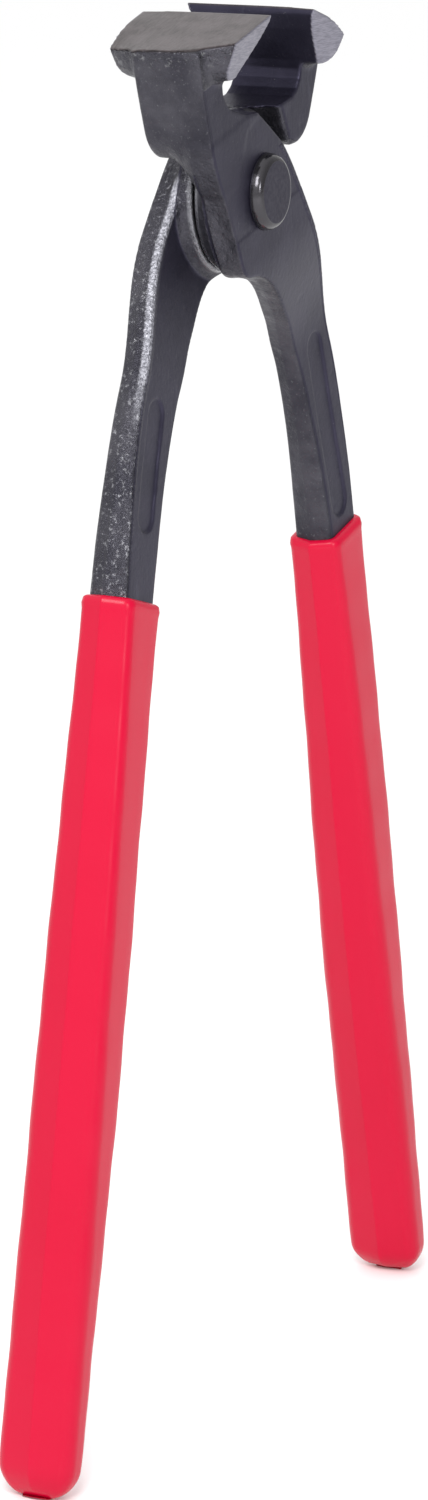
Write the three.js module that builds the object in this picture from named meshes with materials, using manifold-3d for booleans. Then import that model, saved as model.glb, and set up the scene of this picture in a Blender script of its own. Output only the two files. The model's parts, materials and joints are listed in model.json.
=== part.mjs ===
// Tower pincers (end-cutting nippers for twisting and cutting wire), 280 mm long when closed.
// Two forged levers cross in a riveted lap joint, and each handle is dipped in a PVC sleeve.
// Millimetres, +Z up, the tool standing on its handle ends with the jaws on top.
// X is the way the tool opens, Y is the pivot axis, and the rivet's set head faces -Y.
// A lever is drawn as it lies when the tool is closed, with the pivot at the origin, its jaw on -X
// and its handle on +X. The rear lever is the same forging turned half round about Z.
import * as THREE from "three";
import { mergeVertices } from "three/addons/utils/BufferGeometryUtils.js";
import Module from "manifold-3d";

const wasm = await Module();
wasm.setup();

// Driving dimensions
const OVERALL_LENGTH = 280; // closed, from the handle ends to the cutting edges
const EDGE_HEIGHT = 35; // cutting edges above the pivot
const HALF_OPENING = THREE.MathUtils.degToRad(15.6); // each lever at rest, from closed
const GAP = 0.3; // between pieces that touch
const LOW = OVERALL_LENGTH - EDGE_HEIGHT; // handle ends below the pivot

// Lap joint
const JOINT_HALF = 7.85; // middle plane to the outer face of a plate
const PLATE_THICKNESS = 4.9;
const PLATE_BACK = -JOINT_HALF + PLATE_THICKNESS;
const PLATE_TOP = 15.4;
const PAD_RADIUS = 15.3; // round pad on the inner side of each plate
const PAD_CLEARANCE = 0.35;
const PAD_ROOT = 0.1; // how deep it starts in the plate

// Neck between the plate and the jaw
const NECK_BACK = 6.2; // its back face behind the middle plane
const NECK_FOOT = 11.4; // its underside, where it steps down to the plate
const NECK_TOP = 34; // ends inside the jaw
const NECK_FILLET = 4.6;

// Jaws
const JAW_WIDTH = 26.7; // along the cutting edge
const JAW_TAPER = 0.39; // each end face leans in by this much per millimetre of height
const BROW_MIDDLE = 20.4; // how far the ground top face reaches out in the middle
const BROW_END = 15.2; // and at its two ends
const BROW_CORNER = BROW_END - 1.2; // where the curve of the brow starts
const BROW_DROP = 0.5; // the ground top face slopes down to the brow by this much
const JAW_FOOT = 20; // the jaw is shaped above this height
const LAND_FOOT = 33.6; // underside of the short land behind each cutting edge
const EDGE_LAND = GAP / 2; // each edge stops short of the middle plane

// Rivet
const SHANK_RADIUS = 5.2;
const HEAD_BASE_RADIUS = 7.3;
const HEAD_TOP_RADIUS = 6.1;
const HEAD_HEIGHT = 2.15;
const TAIL_RADIUS = 6.9;
const TAIL_HEIGHT = 1.5;

// Dipped sleeves
const COAT = 1.2; // over the bare lever
const SLEEVE_TOP = -80; // upper lip of each sleeve
const SLEEVE_END_RADIUS = 4.2; // rounding at the closed end
const CORE_END_RADIUS = 3;

const CURVE_POINTS = 10; // segments on each piece of a drawn outline
const ROUND_SEGMENTS = 64;
const CORNER_STEPS = 3; // segments on each rounded corner of a handle's section
const SECTION_POINTS = 4 * (CORNER_STEPS + 1) + 2;
const REACH = 60; // cutters run past the tool by this much

// Plate and handle seen along the pivot axis: [height, x] of the outer and the inner side
const OUTER_SIDE = [
  [PLATE_TOP, 0.8], [11, 5], [6.2, 9.2], [1.9, 11.7], [-2.9, 14], [-8, 16.4],
  [-13.5, 19.1], [-19, 22.1], [-24, 24.8], [-30.5, 27.9], [-38, 30.3], [-50, 31.9],
  [-68, 31.8], [-90, 30.1], [-120, 27.8], [-150, 25.5], [-180, 23], [-210, 20.6],
  [-LOW, 17.2],
];
const INNER_SIDE = [
  [PLATE_TOP, -19.1], [10.5, -18.3], [3.9, -16.5], [-3.9, -14.4], [-12, -12.2],
  [-14.8, -6], [-17.2, -2.2], [-21.2, 2.2], [-27, 7], [-33.5, 11.6], [-42, 14.6],
  [-54, 16.3], [-68, 17], [-90, 16.5], [-120, 15.1], [-150, 13.2], [-180, 11.8],
  [-210, 11.1], [-LOW, 10.3],
];

// Section of the handle: [height, half thickness], [height, corner radius] and
// [height, how far the forged sides stand out at the parting line]
const HALF_THICKNESS = [
  [-13, PLATE_THICKNESS / 2], [-42, 2.7], [-56, 3.1], [-70, 3.7], [-100, 4.6], [-135, 5.4],
  [-170, 6], [-205, 6.4], [-LOW, 6.5],
];
const CORNER_RADIUS = [[-13, 0.3], [-50, 0.7], [-100, 1.4], [-170, 2.2], [-LOW, 3]];
const PARTING_RIDGE = [[-13, 0.1], [-42, 0.9], [-90, 1.3], [-LOW, 1.1]];
const CRANK_START = -11; // the handle cranks from the plate's plane to the middle plane
const CRANK_END = -40;

const FORGED = { color: 0x3a383e, roughness: 0.5, metalness: 0.85 };
const RIVET_STEEL = { color: 0x45434a, roughness: 0.35, metalness: 0.9 };
const RED_PVC = { color: 0xe3203f, roughness: 0.3, metalness: 0 };

// Solids

function toSolid(geometry) {
  const bare = geometry.clone();
  bare.deleteAttribute("normal");
  bare.deleteAttribute("uv");
  const merged = mergeVertices(bare, 1e-4);
  const triVerts = new Uint32Array(merged.index.array);
  const vertProperties = new Float32Array(merged.attributes.position.array);
  return new wasm.Manifold(new wasm.Mesh({ numProp: 3, vertProperties, triVerts }));
}

function toGeometry(solid) {
  const mesh = solid.getMesh();
  const geometry = new THREE.BufferGeometry();
  geometry.setAttribute("position", new THREE.BufferAttribute(mesh.vertProperties, 3));
  geometry.setIndex(new THREE.BufferAttribute(mesh.triVerts, 1));
  geometry.computeVertexNormals();
  return geometry;
}

function extruded(shape, depth) {
  const options = { depth, bevelEnabled: false, curveSegments: CURVE_POINTS };
  return new THREE.ExtrudeGeometry(shape, options);
}

// A shape drawn in X and Z, from y0 to y1
function alongY(shape, y0, y1) {
  return toSolid(extruded(shape, y1 - y0).rotateX(Math.PI / 2).translate(0, y1, 0));
}

// A shape drawn in Y and Z, from x0 to x1
function alongX(shape, x0, x1) {
  const turn = new THREE.Matrix4().makeBasis(
    new THREE.Vector3(0, 1, 0),
    new THREE.Vector3(0, 0, 1),
    new THREE.Vector3(1, 0, 0),
  );
  return toSolid(extruded(shape, x1 - x0).applyMatrix4(turn).translate(x0, 0, 0));
}

// A shape drawn in X and Y, from z0 to z1
function alongZ(shape, z0, z1) {
  return toSolid(extruded(shape, z1 - z0).translate(0, 0, z0));
}

function disc(radius, y0, y1) {
  const cylinder = new THREE.CylinderGeometry(radius, radius, y1 - y0, ROUND_SEGMENTS);
  return toSolid(cylinder.translate(0, (y0 + y1) / 2, 0));
}

const vectors = (pairs) => pairs.map(([a, b]) => new THREE.Vector2(a, b));

// Equally spaced numbers from the first towards the last
function spread(first, last, count) {
  return Array.from({ length: count }, (_, i) => first + ((last - first) * i) / count);
}

// Value at a height from a list of [height, value]
function valueAt(table, height) {
  const below = table.findIndex(([z]) => z <= height);
  if (below === 0) return table[0][1];
  if (below < 0) return table[table.length - 1][1];
  const [z0, v0] = table[below - 1];
  const [z1, v1] = table[below];
  return THREE.MathUtils.mapLinear(height, z0, z1, v0, v1);
}

// Middle of the lever's thickness at a height
function middleAt(height) {
  const plateMiddle = -JOINT_HALF + PLATE_THICKNESS / 2;
  const share = THREE.MathUtils.smoothstep(-height, -CRANK_START, -CRANK_END);
  return plateMiddle * (1 - share);
}

// Handle

// Points round the section at a height, from the outer side's parting line.
// grow widens it all round, and inset draws it in again near a rounded end.
function sectionAt(height, grow, inset) {
  const outer = valueAt(OUTER_SIDE, height) + grow - inset;
  const inner = valueAt(INNER_SIDE, height) - grow + inset;
  const middle = new THREE.Vector2((outer + inner) / 2, middleAt(height));
  const halfWidth = (outer - inner) / 2;
  const halfDepth = valueAt(HALF_THICKNESS, height) + grow - inset;
  const corner = Math.min(valueAt(CORNER_RADIUS, height) + grow, 0.6 * halfWidth);
  const side = halfWidth - Math.min(valueAt(PARTING_RIDGE, height), 0.3 * halfWidth);
  const quarter = Array.from({ length: CORNER_STEPS + 1 }, (_, i) => {
    const angle = ((Math.PI / 2) * i) / CORNER_STEPS;
    return [side - corner + corner * Math.cos(angle), halfDepth - corner + corner * Math.sin(angle)];
  });
  const upper = [...quarter, ...quarter.map(([x, y]) => [-x, y]).reverse()];
  const lower = upper.map(([x, y]) => [-x, -y]);
  const round = [[halfWidth, 0], ...upper, [-halfWidth, 0], ...lower];
  return { middle, round: vectors(round).map((p) => p.add(middle)) };
}

// Plate and handle as one bar from the plate's top to the given end, which is rounded
function bar(grow, end, endRadius) {
  const heights = [
    ...spread(PLATE_TOP, -10, 8),
    ...spread(-10, -45, 20),
    ...spread(-45, end + endRadius, 18),
    ...[0, 0.35, 0.62, 0.83, 0.96, 1].map((share) => end + endRadius * (1 - share)),
  ];
  const sections = heights.map((height) => {
    const above = Math.min(height - end, endRadius);
    const inset = endRadius - Math.sqrt(endRadius ** 2 - (endRadius - above) ** 2);
    return sectionAt(height, grow, inset);
  });
  const last = heights.length - 1;
  const geometry = new THREE.CylinderGeometry(1, 1, 1, SECTION_POINTS, last).rotateX(Math.PI / 2);
  const at = geometry.attributes.position;
  const turn = 2 * Math.PI;
  for (let i = 0; i < at.count; i += 1) {
    const [x, y, z] = [at.getX(i), at.getY(i), at.getZ(i)];
    const station = Math.round((0.5 - z) * last);
    const index = Math.round((Math.atan2(y, x) / turn + 1) * SECTION_POINTS) % SECTION_POINTS;
    const onAxis = Math.hypot(x, y) < 0.5;
    const point = onAxis ? sections[station].middle : sections[station].round[index];
    at.setXYZ(i, point.x, point.y, heights[station]);
  }
  return toSolid(geometry);
}

// Head

// The throat between a jaw and the plate, as a cutter seen along the pivot axis
function throatOutline() {
  const shape = new THREE.Shape();
  shape.moveTo(10, EDGE_HEIGHT + 5);
  shape.lineTo(-EDGE_LAND, EDGE_HEIGHT + 5);
  shape.lineTo(-EDGE_LAND, LAND_FOOT);
  shape.lineTo(-5.5, 29.8);
  shape.lineTo(-8.6, 28.1);
  shape.quadraticCurveTo(-10, 27, -11.4, 26.4);
  shape.quadraticCurveTo(-12.5, 25.7, -11.9, 23.3);
  shape.quadraticCurveTo(-11.2, 20, -7.1, 18.3);
  shape.quadraticCurveTo(-3, 16, 0.6, 15.5);
  shape.lineTo(10, 15.5);
  return shape;
}

// Neck seen along the pivot axis: the whole outline in front of the middle plane
function neckFront() {
  return new THREE.Shape(
    vectors([
      [0, NECK_TOP], [0, 15.5], [-5, 14.6], [-11, 6], [-16, 6], [-17.3, 8], [-18.3, 11],
      [-19.2, 16], [-20, 25], [-20.4, NECK_TOP],
    ]),
  );
}

// and behind it, where its foot clears the other lever's plate
function neckRear() {
  const shape = new THREE.Shape();
  shape.moveTo(0, NECK_TOP);
  shape.lineTo(0, 16.8);
  shape.lineTo(-5.6, 16.8);
  shape.lineTo(-10.8, 11.6);
  shape.lineTo(-13, NECK_FOOT);
  shape.quadraticCurveTo(-18.4, 14.2, -19.2, 19);
  shape.lineTo(-20, 27);
  shape.lineTo(-20.3, NECK_TOP);
  return shape;
}

// Side view of the neck, with a fillet from its foot down to the plate
function neckSide() {
  const side = new THREE.Shape();
  side.moveTo(-JOINT_HALF, NECK_TOP);
  side.lineTo(-JOINT_HALF, NECK_FOOT - NECK_FILLET);
  side.lineTo(PLATE_BACK, NECK_FOOT - NECK_FILLET);
  side.quadraticCurveTo(PLATE_BACK, NECK_FOOT, PLATE_BACK + NECK_FILLET, NECK_FOOT);
  side.lineTo(NECK_BACK - 2, NECK_FOOT);
  side.quadraticCurveTo(NECK_BACK, 13, NECK_BACK, 17);
  side.lineTo(NECK_BACK, NECK_TOP);
  return side;
}

function neckSolid() {
  const front = alongY(neckFront(), -JOINT_HALF, GAP);
  const rear = alongY(neckRear(), 0, JOINT_HALF);
  return alongX(neckSide(), -REACH, REACH).intersect(front.add(rear));
}

// Jaw: a bar along the cutting edge with a rounded back, ground flat on top
function jawSolid() {
  const profile = new THREE.Shape();
  profile.moveTo(-EDGE_LAND, EDGE_HEIGHT);
  profile.lineTo(-BROW_MIDDLE, EDGE_HEIGHT - BROW_DROP);
  profile.lineTo(-BROW_MIDDLE, 32.5);
  profile.lineTo(-15.5, 30.6);
  profile.quadraticCurveTo(-14.8, 28, -11.6, 26.7);
  profile.lineTo(-8, 26);
  const full = JAW_WIDTH / 2;
  const brow = new THREE.Shape();
  brow.moveTo(0, -full);
  brow.lineTo(-BROW_CORNER, -full);
  brow.quadraticCurveTo(BROW_END - 2 * BROW_MIDDLE, 0, -BROW_CORNER, full);
  brow.lineTo(0, full);
  const lean = JAW_TAPER * (EDGE_HEIGHT - JAW_FOOT);
  const ends = new THREE.Shape(
    vectors([
      [-full, EDGE_HEIGHT],
      [-full + lean, JAW_FOOT],
      [full - lean, JAW_FOOT],
      [full, EDGE_HEIGHT],
    ]),
  );
  return alongY(profile, -full, full)
    .intersect(alongZ(brow, JAW_FOOT, EDGE_HEIGHT + 1))
    .intersect(alongX(ends, -REACH, REACH));
}

function leverSolid() {
  const handle = bar(0, -LOW + COAT + GAP, CORE_END_RADIUS);
  const pad = disc(PAD_RADIUS, PLATE_BACK - PAD_ROOT, -GAP / 2);
  const otherPad = disc(PAD_RADIUS + PAD_CLEARANCE, -GAP / 2, JOINT_HALF + 1);
  const hole = disc(SHANK_RADIUS + GAP, -JOINT_HALF - 1, JOINT_HALF + 1);
  const throat = alongY(throatOutline(), -JAW_WIDTH, JAW_WIDTH);
  return handle
    .add(pad)
    .add(neckSolid())
    .add(jawSolid())
    .subtract(otherPad)
    .subtract(throat)
    .subtract(hole);
}

// Dipped sleeve: a skin over the lower handle, closed and rounded at its end
function sleeveSolid() {
  const above = new THREE.Shape(
    vectors([
      [-REACH, SLEEVE_TOP],
      [REACH, SLEEVE_TOP],
      [REACH, EDGE_HEIGHT],
      [-REACH, EDGE_HEIGHT],
    ]),
  );
  return bar(COAT, -LOW, SLEEVE_END_RADIUS)
    .subtract(bar(GAP, -LOW + COAT, CORE_END_RADIUS))
    .subtract(alongY(above, -REACH, REACH));
}

// Rivet along the pivot axis: a set head in front and a peened tail behind
function rivetSolid() {
  const seat = JOINT_HALF + GAP;
  const profile = vectors([
    [0, -seat - HEAD_HEIGHT],
    [HEAD_TOP_RADIUS, -seat - HEAD_HEIGHT],
    [HEAD_TOP_RADIUS + 0.4, -seat - HEAD_HEIGHT + 0.3],
    [HEAD_BASE_RADIUS, -seat - 0.4],
    [HEAD_BASE_RADIUS, -seat],
    [SHANK_RADIUS, -seat],
    [SHANK_RADIUS, seat],
    [TAIL_RADIUS, seat],
    [TAIL_RADIUS - 0.5, seat + TAIL_HEIGHT * 0.55],
    [TAIL_RADIUS - 2.6, seat + TAIL_HEIGHT],
    [0, seat + TAIL_HEIGHT],
  ]);
  return toSolid(new THREE.LatheGeometry(profile, ROUND_SEGMENTS));
}

function piece(name, solid, finish) {
  const mesh = new THREE.Mesh(toGeometry(solid), new THREE.MeshStandardMaterial(finish));
  mesh.name = name;
  return mesh;
}

// A lever and its sleeve, swung open about the pivot
function leverGroup(leverName, sleeveName, turn) {
  const opened = new THREE.Group();
  opened.rotation.y = -HALF_OPENING;
  opened.add(piece(leverName, leverSolid(), FORGED));
  opened.add(piece(sleeveName, sleeveSolid(), RED_PVC));
  const placed = new THREE.Group();
  placed.rotation.z = turn;
  placed.add(opened);
  return placed;
}

const pincers = new THREE.Group();
pincers.add(leverGroup("front_lever", "right_grip", 0));
pincers.add(leverGroup("rear_lever", "left_grip", Math.PI));
pincers.add(piece("rivet", rivetSolid(), RIVET_STEEL));

// Stand the tool on the ground plane
pincers.updateMatrixWorld(true);
pincers.position.z = -new THREE.Box3().setFromObject(pincers, true).min.z;

export default pincers;
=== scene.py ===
"""Looks of the tower pincers: forged steel levers, a riveted joint and red dipped sleeves.

Lengths are in millimetres in each lever's own frame, as it lies when the tool is closed: the
pivot at the origin, the jaw on -X, the handle on +X, +Z up. place() turns them into the row frame.
"""
import json
import math

import bpy
import numpy as np
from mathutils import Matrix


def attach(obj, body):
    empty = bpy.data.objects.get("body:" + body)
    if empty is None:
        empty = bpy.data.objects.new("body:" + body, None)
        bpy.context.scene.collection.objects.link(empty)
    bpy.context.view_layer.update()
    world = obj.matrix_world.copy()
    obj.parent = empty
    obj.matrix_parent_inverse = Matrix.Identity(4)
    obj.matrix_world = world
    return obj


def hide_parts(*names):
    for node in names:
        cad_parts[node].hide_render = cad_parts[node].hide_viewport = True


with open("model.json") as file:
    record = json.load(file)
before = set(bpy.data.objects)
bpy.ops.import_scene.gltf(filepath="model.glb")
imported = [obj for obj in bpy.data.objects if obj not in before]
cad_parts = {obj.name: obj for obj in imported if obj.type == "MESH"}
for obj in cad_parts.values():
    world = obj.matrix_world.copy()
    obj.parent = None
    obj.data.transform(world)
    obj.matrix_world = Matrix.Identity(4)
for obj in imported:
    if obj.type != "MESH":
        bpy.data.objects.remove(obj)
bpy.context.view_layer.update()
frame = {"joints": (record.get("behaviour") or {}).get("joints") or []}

MM = 0.001
PIVOT = np.array(frame["joints"][0]["pos_m"], float)
HALF_OPENING = math.radians(15.6)
LOW = 245.0  # handle ends below the pivot
EDGE_HEIGHT = 35.0  # cutting edges above the pivot

# Lap joint
JOINT_HALF = 7.85
PLATE_THICKNESS = 4.9
PAD_RADIUS = 15.3
OTHER_PAD = 15.65
HALF_GAP = 0.15
HOLE_RADIUS = 5.5

# Jaws
HALF_JAW = 13.35
JAW_TAPER = 0.39
BROW_MIDDLE = 20.5
BROW_END = 15.4

# Sleeves
COAT = 1.2
SLEEVE_TOP = -80.0
SLEEVE_END = 6.0  # rounding at the closed end

# Voxels of the lever's distance field
STEP = 0.31
LOW_CORNER = np.array([-22.6, -14.4, -86.0])
HIGH_CORNER = np.array([34.2, 14.4, 36.4])

# Plate and handle seen along the pivot axis: (height, x) of the outer and the inner side
OUTER_SIDE = [
    (15.4, 0.8), (11, 5.2), (6.2, 9.6), (1.9, 12.2), (-2.9, 14.5), (-8, 16.7), (-13.5, 19.1),
    (-19, 22.1), (-24, 24.8), (-30.5, 27.9), (-38, 30.3), (-50, 31.9), (-68, 31.8),
    (-90, 30.1), (-120, 27.8), (-150, 25.5), (-180, 23), (-210, 20.6), (-LOW, 17.2),
]
INNER_SIDE = [
    (15.4, -19.1), (10.5, -18.3), (3.9, -16.5), (-3.9, -14.4), (-12, -12.2), (-14.8, -6),
    (-17.2, -2.2), (-21.2, 2.2), (-27, 7), (-33.5, 11.6), (-42, 14.6), (-54, 16.3),
    (-68, 17), (-90, 16.5), (-120, 15.1), (-150, 13.2), (-180, 11.8), (-210, 11.1),
    (-LOW, 10.3),
]
HALF_THICKNESS = [
    (-13, PLATE_THICKNESS / 2), (-42, 2.7), (-56, 3.1), (-70, 3.7), (-100, 4.6),
    (-135, 5.4), (-170, 6), (-205, 6.4), (-LOW, 6.5),
]
CORNER_RADIUS = [(-13, 0.3), (-50, 0.7), (-100, 1.4), (-170, 2.2), (-LOW, 3)]
PARTING_RIDGE = [(-13, 0.1), (-42, 0.9), (-90, 1.3), (-LOW, 1.1)]
CRANK_START = -11.0
CRANK_END = -40.0

# Neck seen along the pivot axis, in front of the middle plane and behind it
NECK_FRONT = [
    (0, 34.4), (0, 15.5), (-5, 14.6), (-11, 6), (-16, 6), (-17.3, 8), (-18.3, 11),
    (-19.2, 16), (-20, 25), (-20.4, 34.4),
]
NECK_REAR = [
    (0, 34.4), (0, 16.8), (-5.6, 16.8), (-10.8, 11.6), (-13, 11.2), (-15.6, 12.3),
    (-17.6, 14.3), (-18.8, 16.8), (-19.3, 20), (-20, 27), (-20.3, 34.4),
]
JAW_END = [
    (8, 38), (-15.8, 38), (-15.6, 34.3), (-15.4, 33), (-15.4, 31.6), (-15.1, 29.9), (-14.2, 28.6),
    (-12.7, 27.5), (-11.2, 26.9), (-9.8, 26.6), (-8, 26.6), (8, 26.6),
]
THROAT = [
    (12, 40), (-0.15, 40), (-0.15, 33.7), (-3, 31.3), (-5.5, 29.8), (-8.6, 28.1), (-10.6, 26.9),
    (-12, 25.4), (-12.2, 23.8), (-11.4, 21.6), (-9.8, 19.8), (-7.1, 18.3), (-4, 16.7),
    (0.6, 15.5), (12, 15.5),
]


# ---------------------------------------------------------------- curves and fields

def catmull(points, per_piece=6):
    """Points of a smooth curve through the given ones."""
    p = np.array(points, float)
    p = np.vstack([2 * p[0] - p[1], p, 2 * p[-1] - p[-2]])
    t = np.linspace(0, 1, per_piece, endpoint=False)[:, None]
    pieces = []
    for a, b, c, d in zip(p[:-3], p[1:-2], p[2:-1], p[3:]):
        bend = (2 * a - 5 * b + 4 * c - d) * t**2 + (3 * b - a - 3 * c + d) * t**3
        pieces.append(0.5 * (2 * b + (c - a) * t + bend))
    return np.vstack(pieces + [p[-2:-1]])


def at_height(table, z, smooth=True):
    """Value at height z from a list of (height, value) that runs downwards."""
    curve = catmull(table) if smooth else np.array(table, float)
    return np.interp(-np.asarray(z, float), -curve[:, 0], curve[:, 1])


def smoothstep(low, high, value):
    t = np.clip((value - low) / (high - low), 0, 1)
    return t * t * (3 - 2 * t)


def middle_at(z):
    """Middle of the lever's thickness: the plate's plane above the crank, 0 below it."""
    share = smoothstep(-CRANK_START, -CRANK_END, -np.asarray(z, float))
    return (-JOINT_HALF + PLATE_THICKNESS / 2) * (1 - share)


def polygon_distance(points, x, z):
    """Signed distance to a closed outline in X and Z, negative inside."""
    ends = np.array(points, float)
    starts = np.roll(ends, 1, axis=0)
    best = np.full(np.broadcast(x, z).shape, 1e9)
    inside = np.zeros(best.shape, bool)
    for (x0, z0), (x1, z1) in zip(starts, ends):
        ex, ez = x1 - x0, z1 - z0
        length2 = ex * ex + ez * ez
        if length2 < 1e-12:
            continue
        t = np.clip(((x - x0) * ex + (z - z0) * ez) / length2, 0, 1)
        best = np.minimum(best, (x - x0 - t * ex) ** 2 + (z - z0 - t * ez) ** 2)
        if z0 != z1:
            crosses = (z0 > z) != (z1 > z)
            inside ^= crosses & (x < ex * (z - z0) / ez + x0)
    best = np.sqrt(best)
    return np.where(inside, -best, best).astype(np.float32)


def both(a, b, radius):
    """Intersection of two solids, its edge rounded."""
    corner = np.hypot(np.maximum(a + radius, 0), np.maximum(b + radius, 0))
    return np.minimum(-radius, np.maximum(a, b)) + corner


def joined(a, b, radius):
    """Union of two solids with a fillet where they meet."""
    corner = np.hypot(np.maximum(radius - a, 0), np.maximum(radius - b, 0))
    return np.maximum(radius, np.minimum(a, b)) - corner


def without(a, b, radius):
    return both(a, -b, radius)


# ---------------------------------------------------------------- lever

def bar_outline():
    outer = catmull([(x, z) for z, x in OUTER_SIDE])
    inner = catmull([(x, z) for z, x in INNER_SIDE])
    return np.vstack([outer, inner[::-1]])


def oval_distance(x, z, ends, half_width):
    """Distance in X and Z to a slot with round ends between two points."""
    (x0, z0), (x1, z1) = ends
    ex, ez = x1 - x0, z1 - z0
    t = np.clip(((x - x0) * ex + (z - z0) * ez) / (ex * ex + ez * ez), 0, 1)
    return np.hypot(x - x0 - t * ex, z - z0 - t * ez) - half_width


FRONT_PANEL = ((23.0, -41.5), (23.6, -74.0)), 3.1
REAR_PANEL = ((24.4, -46.0), (24.8, -64.5)), 3.0
PANEL_DEPTH = 0.45


def bar_field(x, y, z):
    """Plate and handle: two flat faces and forged sides that meet in a parting ridge."""
    middle = middle_at(z).astype(np.float32)
    half = at_height(HALF_THICKNESS, z, False).astype(np.float32)
    ridge = at_height(PARTING_RIDGE, z, False).astype(np.float32)
    radius = at_height(CORNER_RADIUS, z, False).astype(np.float32)
    across = np.abs(y - middle)
    side = polygon_distance(bar_outline(), x, z) + ridge * np.minimum(across / half, 1.3)
    face = across - half
    solid = both(side, face, radius)
    for (ends, width), sign in ((FRONT_PANEL, -1), (REAR_PANEL, 1)):
        slot = both(oval_distance(x, z, ends, width), half - PANEL_DEPTH - sign * (y - middle), 0.3)
        solid = without(solid, slot, 0.35)
    return solid


def pad_field(x, y, z):
    rim = np.hypot(x, z) - PAD_RADIUS
    return both(rim, np.maximum(y + HALF_GAP, -y - 3.3), 0.5)


def neck_field(x, y, z):
    """Neck block: flush with the plate in front, its foot arched over the other lever behind."""
    front = polygon_distance(catmull(NECK_FRONT[3:], 4).tolist() + NECK_FRONT[:3], x, z)
    rear = polygon_distance(catmull(NECK_REAR[4:], 4).tolist() + NECK_REAR[:4], x, z)
    share = smoothstep(-3.2, 3.6, y)
    outline = front * (1 - share) + rear * share
    faces = np.maximum(-JOINT_HALF - y, y - 6.2)
    return both(outline - 0.15, faces, 0.7 + 0.4 * smoothstep(-6, 4, y))


def brow_at(along):
    """How far the brow reaches out: most in the middle of the jaw, least at its ends."""
    return BROW_MIDDLE - (BROW_MIDDLE - BROW_END) * (along / HALF_JAW) ** 1.8


def jaw_field(x, y, z):
    """Forged jaw: one profile that swells towards the middle, cut off at both ends."""
    profile = polygon_distance(JAW_END, x + brow_at(np.abs(y)) - BROW_END, z)
    jaw = both(profile, end_planes(y, z), 0.12)
    return both(jaw, x + HALF_GAP, 0.1)


def end_planes(y, z):
    return (np.abs(y) - HALF_JAW + JAW_TAPER * (EDGE_HEIGHT - z)) * 0.93


def top_plane(x, y):
    """Height of the ground top face, which rounds off towards the jaw's rear end."""
    near_end = np.clip(y / HALF_JAW, 0, 1) ** 2.4
    return EDGE_HEIGHT - near_end * (0.3 + 0.015 * np.maximum(-x - 5, 0) ** 2)


def lever_field(x, y, z):
    field = joined(bar_field(x, y, z), pad_field(x, y, z), 2.7)
    field = joined(field, neck_field(x, y, z), 1.6)
    field = both(field, -JOINT_HALF - y - 9 * (z < -5), 0.35)
    field = joined(field, jaw_field(x, y, z), 1.3)
    field = without(field, polygon_distance(THROAT, x, z), 0.4 - 0.28 * smoothstep(26, 30, z))
    field = without(field, np.maximum(np.hypot(x, z) - OTHER_PAD, -HALF_GAP - y), 0.3)
    field = without(field, np.hypot(x, z) - HOLE_RADIUS, 0.2)
    return both(field, z - top_plane(x, y), 0.12)


# ---------------------------------------------------------------- surface of a field

EDGES = [
    (a, b)
    for a in range(8)
    for b in range(a + 1, 8)
    if bin(a ^ b).count("1") == 1
]


def surface_of(field, low, step):
    """Vertices and quads of the zero surface: one vertex in each cell that the surface crosses."""
    inside = field < 0
    shape = np.array(field.shape)
    corners = [((c >> 0) & 1, (c >> 1) & 1, (c >> 2) & 1) for c in range(8)]

    def corner_view(array, corner):
        cut = tuple(slice(o, n - 1 + o) for o, n in zip(corner, shape))
        return array[cut]

    count = sum(corner_view(inside, c).astype(np.int8) for c in corners)
    cells = np.argwhere((count > 0) & (count < 8))
    values = np.stack([field[tuple((cells + c).T)] for c in corners], 1)
    total = np.zeros((len(cells), 3))
    hits = np.zeros(len(cells))
    for a, b in EDGES:
        va, vb = values[:, a], values[:, b]
        cross = (va < 0) != (vb < 0)
        t = np.where(cross, va / np.where(cross, va - vb, 1), 0)[:, None]
        point = np.array(corners[a]) + t * (np.array(corners[b]) - np.array(corners[a]))
        total += np.where(cross[:, None], point, 0)
        hits += cross
    vertices = low + step * (cells + total / hits[:, None])
    index = np.full(tuple(shape - 1), -1, np.int64)
    index[tuple(cells.T)] = np.arange(len(cells))
    quads = []
    for axis in range(3):
        here = np.moveaxis(inside, axis, 0)
        change = here[1:] != here[:-1]
        leaving = np.moveaxis(here[:-1] & change, 0, axis)
        change = np.moveaxis(change, 0, axis)
        u, v = (axis + 1) % 3, (axis + 2) % 3
        spots = np.argwhere(change)
        keep = (spots[:, u] > 0) & (spots[:, v] > 0)
        keep &= (spots[:, u] < shape[u] - 1) & (spots[:, v] < shape[v] - 1)
        spots = spots[keep]
        ring = []
        for du, dv in ((1, 1), (0, 1), (0, 0), (1, 0)):
            cell = spots.copy()
            cell[:, u] -= du
            cell[:, v] -= dv
            ring.append(index[tuple(cell.T)])
        ring = np.stack(ring, 1)
        flip = ~leaving[tuple(spots.T)]
        ring[flip] = ring[flip][:, ::-1]
        quads.append(ring)
    return vertices, np.vstack(quads)


def place(points, rear=False):
    """Closed-frame millimetres to the row frame in metres, swung open."""
    x, y, z = np.asarray(points, float).T
    c, s = math.cos(-HALF_OPENING), math.sin(-HALF_OPENING)
    out = np.stack([x * c + z * s, y, -x * s + z * c], 1)
    if rear:
        out[:, :2] *= -1
    return out * MM + PIVOT


def mesh_object(name, vertices, faces, material, attributes=None, sharp=None):
    mesh = bpy.data.meshes.new(name)
    mesh.from_pydata(vertices.tolist(), [], [list(map(int, f)) for f in faces])
    mesh.validate()
    mesh.polygons.foreach_set("use_smooth", np.ones(len(mesh.polygons), bool))
    for key, values in (attributes or {}).items():
        layer = mesh.attributes.new(key, "FLOAT", "POINT")
        layer.data.foreach_set("value", np.asarray(values, np.float32))
    if sharp is not None:
        mesh.set_sharp_from_angle(angle=math.radians(sharp))
    mesh.materials.append(material)
    piece = bpy.data.objects.new(name, mesh)
    bpy.context.scene.collection.objects.link(piece)
    return piece


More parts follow.
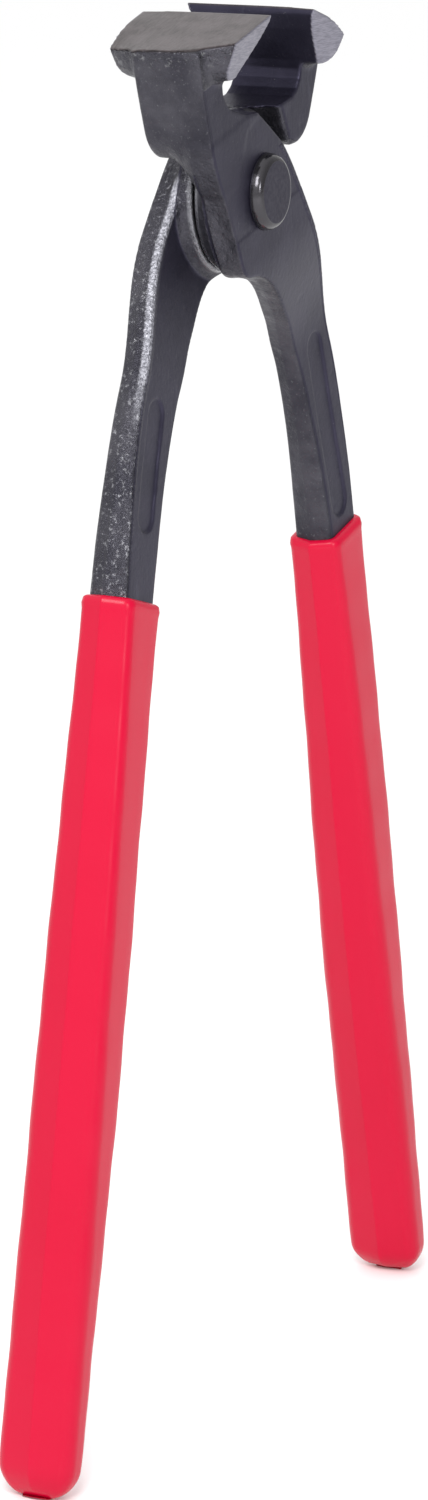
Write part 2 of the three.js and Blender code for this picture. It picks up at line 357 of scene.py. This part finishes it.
def core_shell():
    """The part of the handle that runs on inside its sleeve, as a ring of sections."""
    heights = np.linspace(-84, -LOW + COAT + 0.4, 24)
    return ring_shell(heights, 0.0, -LOW + COAT + 0.3, 3.0)


def section(z, grow, inset, count):
    """Points round the handle at height z: flat faces, rounded corners and a parting ridge."""
    outer = float(at_height(OUTER_SIDE, z)) + grow - inset
    inner = float(at_height(INNER_SIDE, z)) - grow + inset
    half_width = (outer - inner) / 2
    half_depth = float(at_height(HALF_THICKNESS, z, False)) + grow - inset
    radius = min(float(at_height(CORNER_RADIUS, z, False)) + grow, 0.6 * half_width)
    side = half_width - min(float(at_height(PARTING_RIDGE, z, False)), 0.3 * half_width)
    tilt = math.atan2(half_width - side, half_depth - radius)
    turns = np.linspace(tilt * 0.8, math.pi / 2, count)
    corner = [
        (side - radius + radius * math.cos(a), half_depth - radius + radius * math.sin(a))
        for a in turns
    ]
    flat = [(x, half_depth) for x in np.linspace(corner[-1][0], -corner[-1][0], 5)[1:-1]]
    rise = [
        (half_width + (corner[0][0] - half_width) * t, corner[0][1] * t)
        for t in (0.05, 0.35, 0.7)
    ]
    upper = rise + corner + flat
    upper += [(-x, y) for x, y in (rise + corner)[::-1]]
    loop = upper + [(-half_width, 0)] + [(-x, -y) for x, y in upper] + [(half_width, 0)]
    loop = np.array(loop)
    middle = np.array([(outer + inner) / 2, float(middle_at(z))])
    return loop + middle


def ring_shell(heights, grow, end, end_radius, count=7):
    rings = []
    for z in heights:
        above = min(max(z - end, 0.0), end_radius)
        inset = end_radius - math.sqrt(max(end_radius**2 - (end_radius - above) ** 2, 0))
        loop = section(z, grow, inset, count)
        rings.append(np.column_stack([loop, np.full(len(loop), z)]))
    size = len(rings[0])
    vertices = np.vstack(rings)
    faces = []
    for k in range(len(rings) - 1):
        for i in range(size):
            j = (i + 1) % size
            faces.append((k * size + i, (k + 1) * size + i, (k + 1) * size + j, k * size + j))
    faces.append(tuple(range(size)))
    faces.append(tuple(range((len(rings) - 1) * size, len(rings) * size))[::-1])
    return vertices, faces


def lever_mesh():
    """The lever's vertices, faces and the marks that its material reads."""
    axes = [np.arange(a, b + STEP, STEP, dtype=np.float32) for a, b in zip(LOW_CORNER, HIGH_CORNER)]
    x = axes[0][:, None, None]
    y = axes[1][None, :, None]
    z = axes[2][None, None, :]
    field = lever_field(x, y, z).astype(np.float32)
    field = np.maximum(field, np.float32(-84) - z)
    vertices, quads = surface_of(field, LOW_CORNER, STEP)
    return vertices, quads, lever_marks(vertices)


def lever_marks(p):
    """How near each point is to each kind of surface, 1 on it and 0 off it."""
    x, y, z = p.T
    middle, half = middle_at(z), at_height(HALF_THICKNESS, z, False)
    across = (y - middle) / half
    top = smoothstep(-0.32, -0.14, z - top_plane(x, y)) * (z > 31)
    ends = smoothstep(-0.30, -0.12, end_planes(y, z)) * (z > 26.4)
    front = smoothstep(0.30, 0.10, np.abs(-JOINT_HALF - y)) * (z > -13) * (z < 27)
    back = smoothstep(0.30, 0.10, np.abs(y - 6.2)) * (z > 12)
    faces = smoothstep(0.30, 0.10, half * np.abs(np.abs(across) - 1)) * (z < 10)
    inside = smoothstep(0.8, 0.4, np.abs(polygon_distance(THROAT, x, z))) * (z > 15)
    panels = np.zeros(len(p))
    for (ends_at, width), sign in ((FRONT_PANEL, -1), (REAR_PANEL, 1)):
        panels = np.maximum(panels, (oval_distance(x, z, ends_at, width) < 0.3) * (sign * across > 0.6))
    flat = np.maximum.reduce([front, back, faces, inside, panels])
    brow = smoothstep(5.0, 1.5, top_plane(x, y) - z) * (x < -12) * (1 - top) * (1 - ends)
    outer_gap = at_height(OUTER_SIDE, z) - x
    outer = smoothstep(2.2, 1.2, outer_gap) * (z < 6)
    # strip along the outer edge: scraped metal that the material also paints bright as a highlight
    strip = smoothstep(0.42, 0.52, across) * smoothstep(1.05, 0.97, across)
    strip *= smoothstep(1.5, 0.9, outer_gap) * smoothstep(-52, -30, z) * smoothstep(0.5, -2.5, z)
    # rim of the pad, where the material paints a light grey highlight
    rim = np.hypot(x, z) - PAD_RADIUS
    pad_rim_highlight = smoothstep(0.75, 0.45, np.abs(rim)) * smoothstep(-1.3, -0.8, y) * (y < 0.1)
    edge = smoothstep(1.4, 0.5, np.abs(-JOINT_HALF + 0.4 - y)) * (x < -14) * (z > 4) * (z < 27)
    return {
        "top": top, "ends": ends, "flat": flat * (1 - top) * (1 - ends), "strip": strip,
        "outer": outer, "pad_rim_highlight": pad_rim_highlight, "edge": edge, "brow": brow,
    }


# ---------------------------------------------------------------- sleeves

def sleeve_mesh():
    """Dipped skin: a rolled lip at the top, long flats and a rounded closed end."""
    lip = 1.5
    roll = np.linspace(0, math.pi, 9)
    stations = [(SLEEVE_TOP - lip / 2 + lip / 2 * math.cos(a), math.sin(a)) for a in roll[1:-1]]
    heights = [s[0] for s in stations if s[0] > SLEEVE_TOP - lip / 2]
    body = np.linspace(SLEEVE_TOP - lip, -LOW + SLEEVE_END + 0.5, 150)
    tip = -LOW + SLEEVE_END * (1 - np.sin(np.linspace(0, math.pi / 2, 14)))
    heights = [SLEEVE_TOP - 0.02, *heights, *body, *tip]
    heights = sorted(set(round(h, 4) for h in heights), reverse=True)
    rings = []
    for z in heights:
        below = SLEEVE_TOP - z
        inner = math.sqrt(max(1 - (1 - min(below, 1.1) / 1.1) ** 2, 0))
        bead = 0.22 * math.exp(-(((below - 1.0) / 0.9) ** 2))
        grow = 0.12 + (COAT - 0.12) * inner + bead
        grow += 0.05 * math.sin(z * 0.21) + 0.03 * math.sin(z * 0.53 + 1)
        above = min(max(z + LOW, 0.0), SLEEVE_END)
        inset = SLEEVE_END - math.sqrt(max(SLEEVE_END**2 - (SLEEVE_END - above) ** 2, 0))
        loop = section(z, grow, inset, 9)
        rings.append(np.column_stack([loop, np.full(len(loop), z)]))
    size = len(rings[0])
    vertices = np.vstack(rings)
    faces = []
    for k in range(len(rings) - 1):
        for i in range(size):
            j = (i + 1) % size
            faces.append((k * size + i, (k + 1) * size + i, (k + 1) * size + j, k * size + j))
    faces.append(tuple(range(size)))
    faces.append(tuple(range((len(rings) - 1) * size, len(rings) * size))[::-1])
    return vertices, faces


# ---------------------------------------------------------------- rivet

def rivet_mesh():
    """Set head with a flat top and a bright chamfer, shank, and a peened tail."""
    seat = JOINT_HALF + 0.02
    head, tail = 2.3, 1.75
    flat, base = 5.75, 7.26
    arc = np.linspace(0, math.pi / 2, 12)
    chamfer = [(flat + (base - flat) * math.sin(a), -seat - head * math.cos(a)) for a in arc]
    peened = [(6.86 * math.cos(a) ** 0.6, seat + 0.3 + (tail - 0.3) * math.sin(a)) for a in arc[:-1]]
    profile = [(0.0, -seat - head), (flat - 0.6, -seat - head), *chamfer]
    profile += [(5.2, -seat), (5.2, seat), (6.8, seat), *peened, (0.0, seat + tail)]
    turns = 96
    vertices, faces, rings = [], [], []
    for r, y in profile:
        if r == 0:
            rings.append([len(vertices)])
            vertices.append((0, y, 0))
            continue
        ring = []
        for i in range(turns):
            a = 2 * math.pi * i / turns
            wobble = 1 + (0.006 * math.sin(3 * a + 0.4) + 0.004 * math.sin(7 * a)) * (y > 0)
            ring.append(len(vertices))
            vertices.append((r * wobble * math.cos(a), y, r * wobble * math.sin(a)))
        rings.append(ring)
    for a, b in zip(rings[:-1], rings[1:]):
        for i in range(turns):
            j = (i + 1) % turns
            if len(a) == 1:
                faces.append((a[0], b[i], b[j]))
            elif len(b) == 1:
                faces.append((a[i], b[0], a[j]))
            else:
                faces.append((a[i], b[i], b[j], a[j]))
    return np.array(vertices, float), faces


# ---------------------------------------------------------------- materials

class Nodes:
    """Short ways to make and join shader nodes."""

    def __init__(self, name):
        self.material = bpy.data.materials.new(name)
        self.material.use_nodes = True
        self.tree = self.material.node_tree
        self.shader = self.tree.nodes["Principled BSDF"]
        self.coords = self.tree.nodes.new("ShaderNodeTexCoord").outputs["Object"]

    def link(self, source, target):
        self.tree.links.new(source, target)

    def feed(self, socket, value):
        if hasattr(value, "node"):
            self.link(value, socket)
        else:
            socket.default_value = value

    def mark(self, key):
        node = self.tree.nodes.new("ShaderNodeAttribute")
        node.attribute_name = key
        return node.outputs["Fac"]

    def noise(self, scale, detail=3.0, rough=0.55, stretch=None, distortion=0.0):
        node = self.tree.nodes.new("ShaderNodeTexNoise")
        node.inputs["Scale"].default_value = scale
        node.inputs["Detail"].default_value = detail
        node.inputs["Roughness"].default_value = rough
        node.inputs["Distortion"].default_value = distortion
        self.link(self.stretched(stretch), node.inputs["Vector"])
        return node.outputs["Fac"]

    def stretched(self, scales, turn=(0, 0, 0)):
        if scales is None:
            return self.coords
        node = self.tree.nodes.new("ShaderNodeMapping")
        node.inputs["Scale"].default_value = scales
        node.inputs["Rotation"].default_value = turn
        self.link(self.coords, node.inputs["Vector"])
        return node.outputs["Vector"]

    def cells(self, scale, feature="F1"):
        node = self.tree.nodes.new("ShaderNodeTexVoronoi")
        node.feature = feature
        node.inputs["Scale"].default_value = scale
        self.link(self.coords, node.inputs["Vector"])
        return node.outputs["Distance"]

    def ramp(self, value, low, high, out_low=0.0, out_high=1.0):
        node = self.tree.nodes.new("ShaderNodeMapRange")
        node.interpolation_type = "SMOOTHSTEP"
        self.link(value, node.inputs["Value"])
        node.inputs["From Min"].default_value = low
        node.inputs["From Max"].default_value = high
        node.inputs["To Min"].default_value = out_low
        node.inputs["To Max"].default_value = out_high
        return node.outputs["Result"]

    def math(self, kind, a, b=0.0):
        node = self.tree.nodes.new("ShaderNodeMath")
        node.operation = kind
        self.feed(node.inputs[0], a)
        self.feed(node.inputs[1], b)
        return node.outputs["Value"]

    def mix(self, share, a, b):
        node = self.tree.nodes.new("ShaderNodeMix")
        node.data_type = "RGBA"
        self.feed(node.inputs["Factor"], share)
        self.feed(node.inputs["A"], (*a, 1) if isinstance(a, tuple) else a)
        self.feed(node.inputs["B"], (*b, 1) if isinstance(b, tuple) else b)
        return node.outputs["Result"]

    def mixed(self, share, a, b):
        node = self.tree.nodes.new("ShaderNodeMix")
        self.feed(node.inputs["Factor"], share)
        self.feed(node.inputs["A"], a)
        self.feed(node.inputs["B"], b)
        return node.outputs["Result"]

    def bump(self, height, strength, distance, below=None):
        node = self.tree.nodes.new("ShaderNodeBump")
        node.inputs["Strength"].default_value = strength
        node.inputs["Distance"].default_value = distance
        self.link(height, node.inputs["Height"])
        if below is not None:
            self.link(below, node.inputs["Normal"])
        return node.outputs["Normal"]


def steel_material():
    """Dark forged steel with machined flats, ground jaws, a scraped strip painted bright as a highlight, and
    painted glints on the rough sides, under the brow and on the pad's rim.
    """
    n = Nodes("forged_steel")
    top, ends, flat = n.mark("top"), n.mark("ends"), n.mark("flat")
    strip, outer, edge = n.mark("strip"), n.mark("outer"), n.mark("edge")
    pad_rim_highlight, brow = n.mark("pad_rim_highlight"), n.mark("brow")
    broad = n.noise(90, 4, 0.6)
    fine = n.noise(900, 3, 0.6)
    speck = n.noise(2400, 2, 0.5)
    scale_height = n.noise(520, 5, 0.66)
    streaks = n.noise(1, 4, 0.7, stretch=(420, 2200, 420))
    lines = n.noise(1, 3, 0.6, stretch=(420, 420, 3600))
    drag = n.noise(1, 4, 0.65, stretch=(300, 900, 60))

    forged = n.mix(n.ramp(broad, 0.3, 0.7), (0.030, 0.029, 0.039), (0.066, 0.064, 0.077))
    forged = n.mix(n.ramp(speck, 0.64, 0.74), forged, (0.10, 0.10, 0.11))
    # painted glints: light grey specks on the pitted outer side stand in for highlights
    painted_glints = n.math("MULTIPLY", outer, n.ramp(n.noise(1000, 4, 0.7), 0.55, 0.68))
    forged = n.mix(painted_glints, forged, (0.24, 0.24, 0.26))
    nicks = n.math("MULTIPLY", edge, n.ramp(n.noise(380, 2, 0.5), 0.69, 0.73))
    forged = n.mix(nicks, forged, (0.75, 0.74, 0.72))
    # painted glints: light specks under the brow stand in for highlights on the hammered surface
    painted_brow_glints = n.math("MULTIPLY", brow, n.ramp(n.noise(700, 3, 0.6), 0.56, 0.70))
    forged = n.mix(painted_brow_glints, forged, (0.17, 0.17, 0.18))
    machined = n.mix(n.ramp(broad, 0.3, 0.7), (0.026, 0.024, 0.042), (0.038, 0.035, 0.058))
    machined = n.mix(n.ramp(drag, 0.60, 0.78), machined, (0.052, 0.049, 0.076))
    machined = n.mix(n.ramp(speck, 0.70, 0.78), machined, (0.12, 0.115, 0.13))
    mottle = n.ramp(n.noise(170, 4, 0.65), 0.36, 0.64)
    ground_top = n.mix(n.ramp(streaks, 0.3, 0.7), (0.034, 0.027, 0.028), (0.078, 0.064, 0.066))
    ground_top = n.mix(n.math("MULTIPLY", mottle, 0.6), ground_top, (0.125, 0.105, 0.110))
    ground_top = n.mix(n.ramp(speck, 0.64, 0.72), ground_top, (0.030, 0.025, 0.026))
    ground_end = n.mix(n.ramp(lines, 0.3, 0.7), (0.160, 0.155, 0.195), (0.270, 0.262, 0.312))
    # scraped bare metal on the strip, its grey painted much lighter as a highlight
    scraped_with_highlight = n.mix(n.ramp(n.noise(1900, 3, 0.7), 0.40, 0.62), (0.22, 0.22, 0.25), (0.58, 0.58, 0.64))
    colour = n.mix(flat, forged, machined)
    # painted highlight: the pad's rim mixed towards light grey
    colour = n.mix(n.math("MULTIPLY", pad_rim_highlight, 0.75), colour, (0.22, 0.22, 0.24))
    colour = n.mix(strip, colour, scraped_with_highlight)
    colour = n.mix(top, colour, ground_top)
    colour = n.mix(ends, colour, ground_end)
    n.link(colour, n.shader.inputs["Base Color"])
    n.shader.inputs["Metallic"].default_value = 0.8

    rough = n.mixed(flat, n.ramp(scale_height, 0.3, 0.7, 0.34, 0.56), n.ramp(fine, 0.3, 0.7, 0.40, 0.52))
    rough = n.mixed(n.math("MAXIMUM", outer, brow), rough, 0.27)
    rough = n.mixed(flat, rough, 0.45)
    rough = n.mixed(pad_rim_highlight, rough, 0.20)
    rough = n.mixed(strip, rough, 0.46)
    rough = n.mixed(top, rough, 0.34)
    rough = n.mixed(ends, rough, 0.42)
    n.link(rough, n.shader.inputs["Roughness"])

    dimples = n.ramp(n.noise(260, 2, 0.5), 0.22, 0.40)
    dressed = n.math("ADD", n.math("MULTIPLY", n.math("ADD", fine, drag), 0.12), n.math("MULTIPLY", dimples, 0.08))
    height = n.mixed(flat, scale_height, dressed)
    height = n.mixed(top, height, n.math("MULTIPLY", streaks, 0.14))
    height = n.mixed(ends, height, n.math("MULTIPLY", lines, 0.14))
    normal = n.bump(height, 0.7, 0.0007)
    coarse = n.math("MAXIMUM", n.math("MAXIMUM", outer, strip), brow)
    pits = n.math("MULTIPLY", coarse, n.noise(900, 4, 0.7))
    n.link(n.bump(pits, 0.9, 0.0006, normal), n.shader.inputs["Normal"])
    return n.material


def rivet_material():
    """Dark satin steel with a brighter turned chamfer."""
    n = Nodes("rivet_steel")
    fine = n.noise(1100, 3, 0.6)
    broad = n.noise(160, 3, 0.6)
    colour = n.mix(broad, (0.027, 0.025, 0.041), (0.038, 0.035, 0.055))
    chamfer = n.mark("chamfer")
    colour = n.mix(chamfer, colour, (0.060, 0.058, 0.064))
    n.link(colour, n.shader.inputs["Base Color"])
    n.shader.inputs["Metallic"].default_value = 0.85
    rough = n.mixed(chamfer, n.ramp(fine, 0.3, 0.7, 0.42, 0.54), 0.16)
    n.link(rough, n.shader.inputs["Roughness"])
    n.link(n.bump(fine, 0.12, 0.0003), n.shader.inputs["Normal"])
    return n.material


def sleeve_material():
    """Glossy red PVC, a little lighter where the skin is thin over the edges."""
    n = Nodes("red_dip")
    broad = n.noise(30, 3, 0.5)
    fine = n.noise(1500, 2, 0.5)
    colour = n.mix(broad, (0.47, 0.0006, 0.024), (0.52, 0.0010, 0.032))
    colour = n.mix(n.mark("thin"), colour, (0.60, 0.008, 0.050))
    n.link(colour, n.shader.inputs["Base Color"])
    n.shader.inputs["Specular IOR Level"].default_value = 0.22
    n.shader.inputs["Roughness"].default_value = 0.27
    wave = n.noise(55, 1, 0.4)
    normal = n.bump(wave, 0.25, 0.0012)
    normal = n.bump(fine, 0.04, 0.0001, normal)
    n.link(normal, n.shader.inputs["Normal"])
    return n.material


# ---------------------------------------------------------------- pieces

def add_levers():
    steel = steel_material()
    vertices, quads, marks = lever_mesh()
    core, core_faces = core_shell()
    offset = len(vertices)
    faces = quads.tolist() + [tuple(i + offset for i in f) for f in core_faces]
    points = np.vstack([vertices, core])
    marks = {k: np.concatenate([v, np.zeros(len(core))]) for k, v in marks.items()}
    for name, node, body, rear in (
        ("front_forging", "front_lever", "front_half", False),
        ("rear_forging", "rear_lever", "rear_half", True),
    ):
        piece = mesh_object(name, place(points, rear), faces, steel, marks)
        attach(piece, body)
        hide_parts(node)


def add_sleeves():
    red = sleeve_material()
    vertices, faces = sleeve_mesh()
    thin = np.zeros(len(vertices))
    for name, node, body, rear in (
        ("right_dipped_sleeve", "right_grip", "front_half", False),
        ("left_dipped_sleeve", "left_grip", "rear_half", True),
    ):
        piece = mesh_object(name, place(vertices, rear), faces, red, {"thin": thin})
        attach(piece, body)
        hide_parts(node)


def add_rivet():
    vertices, faces = rivet_mesh()
    radius = np.hypot(vertices[:, 0], vertices[:, 2])
    chamfer = ((radius > 5.76) & (vertices[:, 1] < -8.0)).astype(float)
    world = vertices * MM + PIVOT
    piece = mesh_object("joint_rivet", world, faces, rivet_material(), {"chamfer": chamfer}, 32)
    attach(piece, "front_half")
    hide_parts("rivet")


# ---------------------------------------------------------------- stage

CAMERA_AZIMUTH = math.radians(-64.17)
CAMERA_ELEVATION = math.radians(12.04)
CAMERA_ROLL = math.radians(0.15)
CAMERA_DISTANCE = 1.0671
CAMERA_LENS = 133.98
AIM_RIGHT, AIM_UP = -0.0024, -0.10728


def add_camera():
    ca, sa = math.cos(CAMERA_AZIMUTH), math.sin(CAMERA_AZIMUTH)
    ce, se = math.cos(CAMERA_ELEVATION), math.sin(CAMERA_ELEVATION)
    back = np.array([sa * ce, -ca * ce, se])
    right = np.array([ca, sa, 0.0])
    up = np.cross(back, right)
    cr, sr = math.cos(CAMERA_ROLL), math.sin(CAMERA_ROLL)
    right_rolled = right * cr + up * sr
    up_rolled = up * cr - right * sr
    place_at = PIVOT + right * AIM_RIGHT + np.array([0, 0, AIM_UP]) + back * CAMERA_DISTANCE
    data = bpy.data.cameras.new("camera")
    data.lens = CAMERA_LENS
    data.sensor_width = 36.0
    data.sensor_fit = "AUTO"
    data.clip_end = 100
    camera = bpy.data.objects.new("camera", data)
    bpy.context.scene.collection.objects.link(camera)
    from mathutils import Matrix
    matrix = Matrix.Identity(4)
    for row in range(3):
        matrix[row][0] = right_rolled[row]
        matrix[row][1] = up_rolled[row]
        matrix[row][2] = back[row]
        matrix[row][3] = place_at[row]
    camera.matrix_world = matrix
    bpy.context.scene.camera = camera


def add_light(name, location, target, size, watts, colour=(1, 1, 1)):
    from mathutils import Vector
    data = bpy.data.lights.new(name, "AREA")
    data.shape = "RECTANGLE"
    data.size, data.size_y = size
    data.energy = watts
    data.color = colour
    light = bpy.data.objects.new(name, data)
    light.location = location
    light.rotation_euler = (Vector(target) - Vector(location)).to_track_quat("-Z", "Y").to_euler()
    bpy.context.scene.collection.objects.link(light)


def add_surroundings():
    """Soft studio light from all round, weaker from the front right."""
    world = bpy.data.worlds.new("studio")
    world.use_nodes = True
    tree = world.node_tree
    coords = tree.nodes.new("ShaderNodeTexCoord")
    share = tree.nodes.new("ShaderNodeVectorMath")
    share.operation = "DOT_PRODUCT"
    share.inputs[1].default_value = (0.45, -0.85, -0.15)
    tree.links.new(coords.outputs["Generated"], share.inputs[0])
    level = tree.nodes.new("ShaderNodeMapRange")
    level.interpolation_type = "SMOOTHSTEP"
    tree.links.new(share.outputs["Value"], level.inputs["Value"])
    for key, value in (("From Min", -0.2), ("From Max", 0.95), ("To Min", 1.18), ("To Max", 0.42)):
        level.inputs[key].default_value = value
    tree.links.new(level.outputs["Result"], tree.nodes["Background"].inputs["Strength"])
    tree.nodes["Background"].inputs["Color"].default_value = (1, 1, 1, 1)
    bpy.context.scene.world = world


def add_stage():
    size = 12.0
    corners = np.array([(-size, -size, 0), (size, -size, 0), (size, size, 0), (-size, size, 0)], float)
    n = Nodes("pale_floor")
    n.shader.inputs["Base Color"].default_value = (0.97, 0.97, 0.97, 1)
    n.shader.inputs["Roughness"].default_value = 0.9
    floor = mesh_object("floor", corners, [(0, 1, 2, 3)], n.material)
    add_surroundings()
    aim = (0, 0, 0.16)
    add_light("key", (-0.95, -0.35, 0.95), aim, (0.35, 0.6), 9)
    add_light("fill", (-0.64, -0.97, 0.51), (0, 0, 0.2), (0.22, 0.30), 3.5)
    bpy.context.scene.view_settings.view_transform = "Standard"


add_camera()
add_levers()
add_sleeves()
add_rivet()
add_stage()
